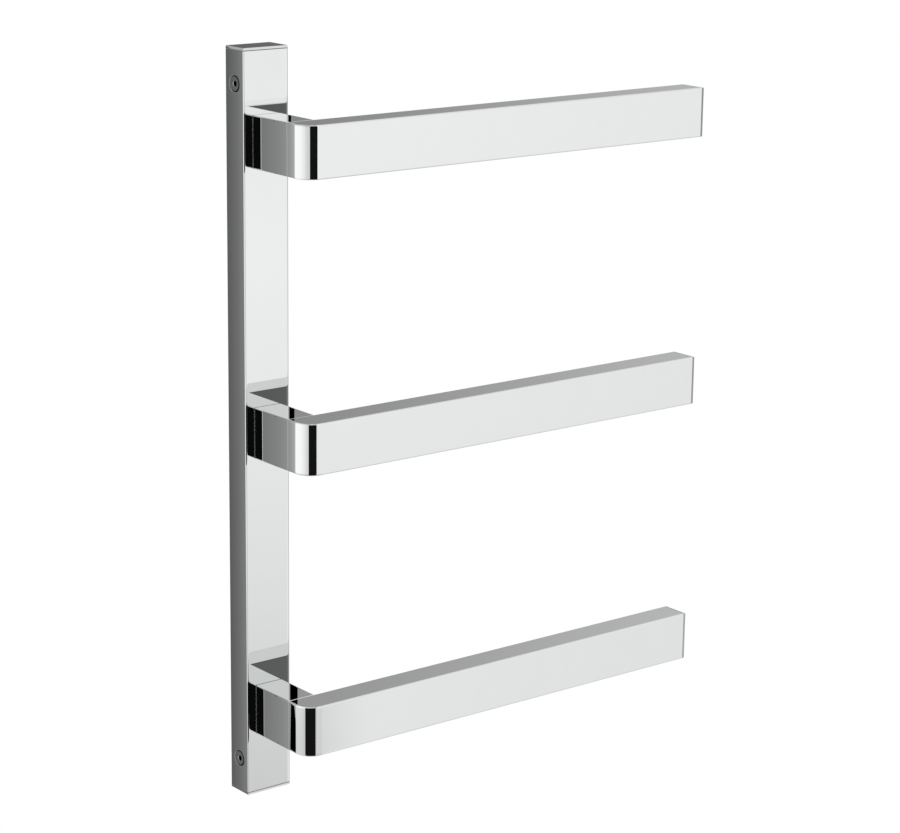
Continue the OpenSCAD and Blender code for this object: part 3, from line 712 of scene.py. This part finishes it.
class TOWELRAIL_OT_heaters(bpy.types.Operator):
    """Heating elements with their spacers and leads"""

    bl_idname = "towelrail.heaters"
    bl_label = "Heaters"

    def execute(self, context):
        finishes = context.scene.rail_finishes
        # warm grey, dulled to brown in blotches
        sheath = plain_metal("stainless sheath, heat-dulled", *both(finishes, "sheath"), (0.4, 3, 3), 0.4)
        # matt brick red with the mould's fine pits
        silicone = moulded("moulded silicone", *both(finishes, "spacer"), 0.6, 0.62)
        # a deeper red with a little more sheen
        sleeve = moulded("silicone sleeve", *both(finishes, "sleeve"), 0.4, 0.55)
        for level in LEVELS:
            low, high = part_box(f"{level}_heating_element")
            rod = element_rod((high.z - low.z) / 2, high.x - low.x)
            grid = along_x(rod, low.x, (low.y + high.y) / 2, (low.z + high.z) / 2)
            keep(f"{level}_element", [grid], sheath, "element_sheath", f"{level}_heating_element")
            dress(silicone, f"{level}_element_spacers")
            dress(sleeve, f"{level}_heater_leads")
        dress(sleeve, "cutout_leads")
        return {"FINISHED"}


class TOWELRAIL_OT_wiring(bpy.types.Operator):
    """Terminal block, thermal cut-out and earth connection"""

    bl_idname = "towelrail.wiring"
    bl_label = "Wiring"

    def execute(self, context):
        details, finishes = context.scene.rail_details, context.scene.rail_finishes
        # creamy white with a low gloss
        dress(moulded("moulded polyamide", *both(finishes, "block"), 0.5, 0.5), "terminal_block")
        # near black with a hard sheen
        dress(moulded("moulded phenolic", *both(finishes, "cutout"), 0.4, 0.42), "thermal_cutout")
        # green, with yellow along both sides
        earth = moulded("green and yellow sleeve", *both(finishes, "earth"), 0.4, 0.5,
                        stripe=middle("earth_lead").x)
        dress(earth, "earth_lead")
        # yellow that tarnish browns in blotches
        brass = plain_metal("turned brass", *both(finishes, "brass"), (1.5, 0.3, 1.5), 0.28)
        dress(brass, "clamp_screws", "earth_tag")

        low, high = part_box("earth_screw")
        x, head, z = (low.x + high.x) / 2, (high.z - low.z) / 2, (low.z + high.z) / 2
        screw = socket_screw(head, head / 2, high.y - low.y, 2.5 * MM, details.small_pitch, 0.35 * MM,
                             details.small_rim, count=48)
        keep("earth_bolt", [to_room(screw, x, high.y, z)], brass, "brass", "earth_screw")
        low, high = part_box("earth_nut")
        nut = hex_nut(high.z - low.z, high.y - low.y, head / 2 + 0.05 * MM, 0.3 * MM)
        keep("earth_bolt_nut", [to_room(nut, x, high.y, z)], brass, "brass", "earth_nut",
             ring=True, crease=20)

        # the studs' plate in a finer grain
        steel = plain_metal("bright zinc plate on small screws", *both(finishes, "steel"), (1, 0.3, 1), 0.3)
        low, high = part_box("terminal_screws")
        head, z = (high.z - low.z) / 2, (low.z + high.z) / 2
        screw = socket_screw(head, head / 2, high.y - low.y, 2 * MM, details.small_pitch, 0.3 * MM,
                             details.small_rim, count=48)
        grids = [to_room(screw, x, high.y, z) for x in (low.x + head, high.x - head)]
        keep("block_screws", grids, steel, "bare_steel", "terminal_screws")
        return {"FINISHED"}


class TOWELRAIL_OT_supply_bush(bpy.types.Operator):
    """Rubber bush for the supply cord, in the column's back"""

    bl_idname = "towelrail.supply_bush"
    bl_label = "Supply bush"

    def execute(self, context):
        # soft black with a paler bloom
        rubber = moulded("moulded rubber", *both(context.scene.rail_finishes, "rubber"), 0.5, 0.6)
        low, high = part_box("supply_grommet")
        centre = (low + high) / 2
        grid = rubber_bush((high.z - low.z) / 2, high.y - low.y, neck=6.95 * MM, bore=3.5 * MM)
        keep("supply_bush", [to_room(grid, centre.x, high.y, centre.z)], rubber, "black_rubber",
             "supply_grommet", ring=True)
        return {"FINISHED"}


# Studio

# The camera's place in metres, its yaw, pitch and roll in radians, and its lens in millimetres.
# They were fitted to points along the rail's edges.
CAMERA_PLACE = (-1.42569, -2.10512, 0.65834)
CAMERA_TURN = (0.6709, 0.2502, 0.0124)
CAMERA_LENS = 109.10

# Outlines of the black cards in front of the arms' rounded corners: X, and height from the arm's
# own level, in millimetres
CORNER_CARDS = {
    "upper": [(-1.75, -26), (-1.75, 23.0), (-2.8, 24), (-12.6, 24), (-13.7, 22.8), (-13.7, -28)],
    "middle": [(-3.1, -26), (-3.1, 22.6), (-4.1, 23.6), (-8.8, 23.3), (-16.8, 22.7), (-17.9, 21.5),
               (-17.9, -30)],
    "lower": [(-4.4, -27), (-4.4, 22.0), (-5.4, 23.1), (-13.7, 22.1), (-42.5, 16.5), (-44.2, 14.2),
              (-44.2, -45), (-30, -38), (-13.7, -30)],
}
# Lower edges of the black cards beside the stubs, in millimetres below the arm's own level
JOINT_CARDS = {"upper": 30, "middle": 33.5, "lower": 37.5}


def camera_axes(yaw, pitch, roll):
    """Right, up and back directions of a camera that looks along +Y at no yaw, turned by yaw
    towards +X, tilted down by pitch, and rolled."""
    ahead = np.array([math.sin(yaw) * math.cos(pitch), math.cos(yaw) * math.cos(pitch), -math.sin(pitch)])
    right = np.array([math.cos(yaw), -math.sin(yaw), 0.0])
    up = np.cross(right, ahead)
    return (right * math.cos(roll) + up * math.sin(roll),
            up * math.cos(roll) - right * math.sin(roll), -ahead)


def panel(tree, under, level, *edges):
    """Lays a panel over what is under it. Each of its soft edges is a value, where the panel
    begins, and where it is full."""
    mask = 1.0
    for value, begins, full in edges:
        edge = smooth_edge(tree, value, begins, full)
        mask = add(tree, "Math", {"operation": "MULTIPLY"}, {0: mask, 1: edge}, 0)
    return add(tree, "Mix", {"data_type": "FLOAT"}, {"Factor": mask, 2: under, 3: level}, 0)


def curve_of(tree, value, stops):
    """Socket that runs through the stops, pairs of a value and a level."""
    low, high = stops[0][0], stops[-1][0]
    along = add(tree, "MapRange", {}, {"Value": value, "From Min": low, "From Max": high}, "Result")
    ramp = add(tree, "ValToRGB", {}, {"Fac": along})
    ramp.color_ramp.interpolation = "LINEAR"
    while len(ramp.color_ramp.elements) < len(stops):
        ramp.color_ramp.elements.new(0.5)
    for stop, (at, level) in zip(ramp.color_ramp.elements, stops):
        stop.position = (at - low) / (high - low)
        stop.color = (level, level, level, 1)
    return ramp.outputs["Color"]


def compass(tree):
    """Where a ray goes, in degrees. Its side is 0 towards the room, 90 to the left, -90 to the
    right and 180 at the wall, and its rise is positive above the level."""
    away = add(tree, "VectorMath", {"operation": "SCALE"},
               {0: add(tree, "TexCoord", out="Generated"), "Scale": -1.0}, 0)
    split = add(tree, "SeparateXYZ", {}, {"Vector": away})
    turn = add(tree, "Math", {"operation": "ARCTAN2"}, {0: split.outputs["X"], 1: split.outputs["Y"]}, 0)
    side = add(tree, "Math", {"operation": "MULTIPLY"}, {0: turn, 1: math.degrees(1)}, 0)
    dip = add(tree, "Math", {"operation": "ARCSINE"}, {0: split.outputs["Z"]}, 0)
    return side, add(tree, "Math", {"operation": "MULTIPLY"}, {0: dip, 1: -math.degrees(1)}, 0)


def room_in_front(tree, under, side, rise):
    """The room between the two large panels."""
    level = curve_of(tree, side, [(-10, 0.95), (0, 0.8), (8, 0.62), (24, 0.68), (42, 0.76)])
    return panel(tree, under, level, (side, -8, -2), (side, 52, 44), (rise, -42, -34), (rise, 36, 28))


def right_flank(tree, under, side, rise):
    """The right-hand side: half lit, paler towards the floor and above the rail."""
    level = curve_of(tree, rise, [(-60, 0.7), (-26, 0.62), (-14, 0.42), (-4, 0.3), (2, 0.3), (5, 0.75),
                                  (20, 0.8), (34, 0.8), (44, 0.95), (90, 1.0)])
    return panel(tree, under, level, (side, -58, -64), (side, -140, -120))


def wall(tree, under, side, rise):
    """The wall, which the backs see."""
    off = add(tree, "Math", {"operation": "ABSOLUTE"}, {0: side}, 0)
    return panel(tree, under, 0.66, (off, 150, 156), (rise, -38, -32), (rise, 36, 30))


def doorway(tree, under, side, rise):
    """A doorway on the wall's right: dark up to the height of the rail, paler above."""
    level = curve_of(tree, rise, [(-60, 0.6), (-35, 0.45), (-26, 0.12), (0, 0.07), (6.75, 0.08),
                                  (7.2, 0.2), (14, 0.24), (21, 0.31), (34, 0.45), (44, 0.95), (90, 1.0)])
    return panel(tree, under, level, (side, -120.5, -150.5), (side, -158, -152))


def left_panel(tree, under, side, rise, strength):
    """The left panel, which fades towards the room, and below the height of the lower arm."""
    level = curve_of(tree, side, [(40, 0.74), (49, 0.77), (61, 0.82), (73, 0.98), (85, 1.06),
                                  (100, 1.16), (137, 1.18), (143, 0.8), (154, 0.7)])
    sink = curve_of(tree, rise, [(-40, 0.7), (-21, 0.68), (-16.5, 1.0), (-7.4, 1.0), (-3, 0.8),
                                 (6, 0.66), (30, 0.6)])
    for factor in (sink, strength):
        level = add(tree, "Math", {"operation": "MULTIPLY"}, {0: level, 1: factor}, 0)
    return panel(tree, under, level, (side, 36, 42), (side, 154, 148), (rise, -58, -50), (rise, 34, 28))


def right_panel(tree, under, side, rise, strength):
    """The right panel, brightest a little below the rail's own height. Its near part fades lower
    down than its far part."""
    near = curve_of(tree, rise, [(-60, 0.58), (-24, 0.69), (-21.5, 0.76), (-18, 0.9), (-15, 0.98),
                                 (-11, 1.05), (-6, 0.99), (3, 1.0), (7, 1.07), (9, 1.05), (13, 0.88),
                                 (21, 0.87), (30, 0.8)])
    far = curve_of(tree, rise, [(-60, 0.7), (-24, 0.95), (-15, 0.99), (-8, 1.04), (7, 1.0), (30, 0.8)])
    level = panel(tree, near, far, (side, -34.9, -37.0))
    dim = curve_of(tree, side, [(-60, 0.9), (-44, 0.95), (-36, 1.0), (0, 1.0)])
    for factor in (dim, strength):
        level = add(tree, "Math", {"operation": "MULTIPLY"}, {0: level, 1: factor}, 0)
    return panel(tree, under, level, (side, 6, -6), (side, -62, -56), (rise, 34, 28))


def studio_world(studio):
    """White backdrop for the camera, plain light on matt surfaces, and for mirrors a studio of
    soft panels, placed by compass angle and height."""
    world = bpy.data.worlds.new("studio")
    bpy.context.scene.world = world
    world.use_nodes = True
    tree = world.node_tree
    tree.nodes.clear()
    side, rise = compass(tree)
    # ceiling and floor, and what stands before them
    level = curve_of(tree, rise, [(-90, 0.7), (-50, 0.8), (-30, 0.75), (-8, 0.85), (20, 0.9), (34, 0.8),
                                  (44, 0.9), (62, 0.8), (90, 0.7)])
    for lay in (room_in_front, right_flank, wall, doorway):
        level = lay(tree, level, side, rise)
    level = left_panel(tree, level, side, rise, studio.left_panel)
    level = right_panel(tree, level, side, rise, studio.right_panel)
    light, matt = add(tree, "LightPath"), 0.9
    lit = add(tree, "Mix", {"data_type": "FLOAT"},
              {"Factor": light.outputs["Is Glossy Ray"], 2: matt, 3: level}, 0)
    seen = add(tree, "Mix", {"data_type": "FLOAT"},
               {"Factor": light.outputs["Is Camera Ray"], 2: lit, 3: 1.0}, 0)
    glow = add(tree, "Background", {}, {"Color": (1, 1, 1, 1), "Strength": seen}, 0)
    add(tree, "OutputWorld", {}, {"Surface": glow})


def studio_floor(studio, level):
    """Matt pale floor at a level, white to the camera and left out of mirrors."""
    reach = 6.0
    mesh = bpy.data.meshes.new("floor")
    mesh.from_pydata([(-reach, -reach, level), (reach, -reach, level), (reach, reach, level),
                      (-reach, reach, level)], [], [(0, 1, 2, 3)])
    floor = bpy.data.objects.new("floor", mesh)
    bpy.context.scene.collection.objects.link(floor)
    paint, tree, shader, _ = new_finish("pale studio floor", Roughness=0.8)
    shader.inputs["Base Color"].default_value = tuple(studio.floor_colour)
    white = add(tree, "Emission", {}, {"Color": (1, 1, 1, 1), "Strength": 1.0}, 0)
    mix = add(tree, "MixShader", {}, {0: add(tree, "LightPath", out="Is Camera Ray"),
                                      1: shader.outputs[0], 2: white}, 0)
    tree.links.new(mix, tree.nodes["Material Output"].inputs["Surface"])
    mesh.materials.append(paint)
    floor.visible_glossy = False


def card(name, corners, stops):
    """Studio card that only mirrors see: a flat sheet whose brightness runs along X. Its corners
    are given in millimetres."""
    mesh = bpy.data.meshes.new(name)
    mesh.from_pydata((np.array(corners, float) * MM).tolist(), [], [tuple(range(len(corners)))])
    sheet = bpy.data.objects.new(name, mesh)
    bpy.context.scene.collection.objects.link(sheet)
    material = bpy.data.materials.new(name)
    material.use_nodes = True
    tree = material.node_tree
    tree.nodes.clear()
    across = add(tree, "SeparateXYZ", {}, {"Vector": add(tree, "TexCoord", out="Object")}, "X")
    level = curve_of(tree, across, [(x * MM, value) for x, value in stops])
    glow = add(tree, "Emission", {}, {"Strength": level}, 0)
    add(tree, "OutputMaterial", {}, {"Surface": glow})
    mesh.materials.append(material)
    sheet.visible_camera = sheet.visible_diffuse = sheet.visible_shadow = sheet.visible_transmission = False


def upright(start, end, bottom, top):
    """Corners of an upright card between two points of the plan."""
    return [(*start, bottom), (*end, bottom), (*end, top), (*start, top)]


def studio_cards(bottom, top):
    """Cards close to a rail that reaches from bottom to top, in millimetres."""
    # beside the column, close to the wall, for the shaded left sides: a glowing sheet that stands for the
    # wall, with painted shade that darkens it towards the column
    card("left_card", upright((-89, 2), (-23.5, 2), bottom - 250, top),
         [(-89, 0.75), (-87, 0.62), (-81.8, 0.42), (-75.6, 0.33), (-66.5, 0.285), (-46.8, 0.225),
          (-44.8, 0.24), (-38, 0.185), (-26, 0.12), (-23, 0.10)])
    # black sheet that stands for the shade in the gap between the column's right edge and the wall, which
    # shows in the tops of the stubs
    card("gap_card", [(25.2, -30, bottom), (35.8, -30, bottom), (27.5, -30, top), (25.2, -30, top)],
         [(20, 0.0), (40, 0.0)])
    # dark wedge low on the left, which shows in the lower arm's closed end
    tip = bottom + 73
    card("wedge_card", [(-89, 1.8, bottom), (-77, 1.8, bottom), (-78.4, 1.8, tip), (-82, 1.8, tip)],
         [(-90, 0.0), (-70, 0.0)])
    front, near, far, half = -117.5, (-16.6, -62.6), (-35.684, -35), 25
    for level in LEVELS:
        z = middle(f"{level}_arm_tube").z / MM
        # black card in front of the arm's rounded corner
        card(f"{level}_corner_card", [(x, front, z + h) for x, h in CORNER_CARDS[level]],
             [(-120, 0.008), (0, 0.008)])
        # black card beside the stub's root, edge on to what the stub's own side shows
        card(f"{level}_joint_card", upright(near, far, z - JOINT_CARDS[level], z + half),
             [(-40, 0.004), (-10, 0.004)])


class TOWELRAIL_OT_studio(bpy.types.Operator):
    """Floor, surroundings and camera"""

    bl_idname = "towelrail.studio"
    bl_label = "Studio"

    def execute(self, context):
        studio = context.scene.rail_studio
        low, high = CAD_BOX
        studio_floor(studio, low.z - studio.floor_drop)
        studio_cards(low.z / MM, high.z / MM)
        studio_world(studio)
        camera = bpy.data.cameras.new("camera")
        camera.sensor_width = 36
        camera.lens = CAMERA_LENS
        camera.clip_start, camera.clip_end = 0.1, 50
        holder = bpy.data.objects.new("camera", camera)
        context.scene.collection.objects.link(holder)
        right, up, back = camera_axes(*CAMERA_TURN)
        turn = Matrix([[right[k], up[k], back[k]] for k in range(3)]).to_4x4()
        holder.matrix_world = Matrix.Translation(CAMERA_PLACE) @ turn
        context.scene.camera = holder
        context.scene.view_settings.view_transform = "Standard"
        return {"FINISHED"}


class TOWELRAIL_PT_rail(bpy.types.Panel):
    """Steps that dress the rail, and their settings"""

    bl_idname = "TOWELRAIL_PT_rail"
    bl_label = "Towel rail"
    bl_space_type = "VIEW_3D"
    bl_region_type = "UI"
    bl_category = "Towel rail"

    def draw(self, context):
        for step in STEPS:
            self.layout.operator(step.bl_idname)
        for name in GROUPS:
            group, box = getattr(context.scene, name), self.layout.box()
            for setting in group.__annotations__:
                box.prop(group, setting)


STEPS = (TOWELRAIL_OT_studio, TOWELRAIL_OT_tubes, TOWELRAIL_OT_caps, TOWELRAIL_OT_side_screws,
         TOWELRAIL_OT_ties, TOWELRAIL_OT_hidden_steel, TOWELRAIL_OT_heaters, TOWELRAIL_OT_wiring,
         TOWELRAIL_OT_supply_bush)
GROUPS = {"rail_finishes": RailFinishes, "rail_details": RailDetails, "rail_studio": RailStudio}


def register():
    """Registers the classes and gives every scene its settings."""
    for part in (*GROUPS.values(), *STEPS, TOWELRAIL_PT_rail):
        bpy.utils.register_class(part)
    for name, group in GROUPS.items():
        setattr(bpy.types.Scene, name, bpy.props.PointerProperty(type=group))


def unregister():
    """Takes both away again."""
    for name in GROUPS:
        delattr(bpy.types.Scene, name)
    for part in reversed((*GROUPS.values(), *STEPS, TOWELRAIL_PT_rail)):
        bpy.utils.unregister_class(part)


def main():
    """Registers the classes and runs the steps in order."""
    register()
    for step in STEPS:
        group, name = step.bl_idname.split(".")
        getattr(getattr(bpy.ops, group), name)()


if __name__ == "__main__":
    main()
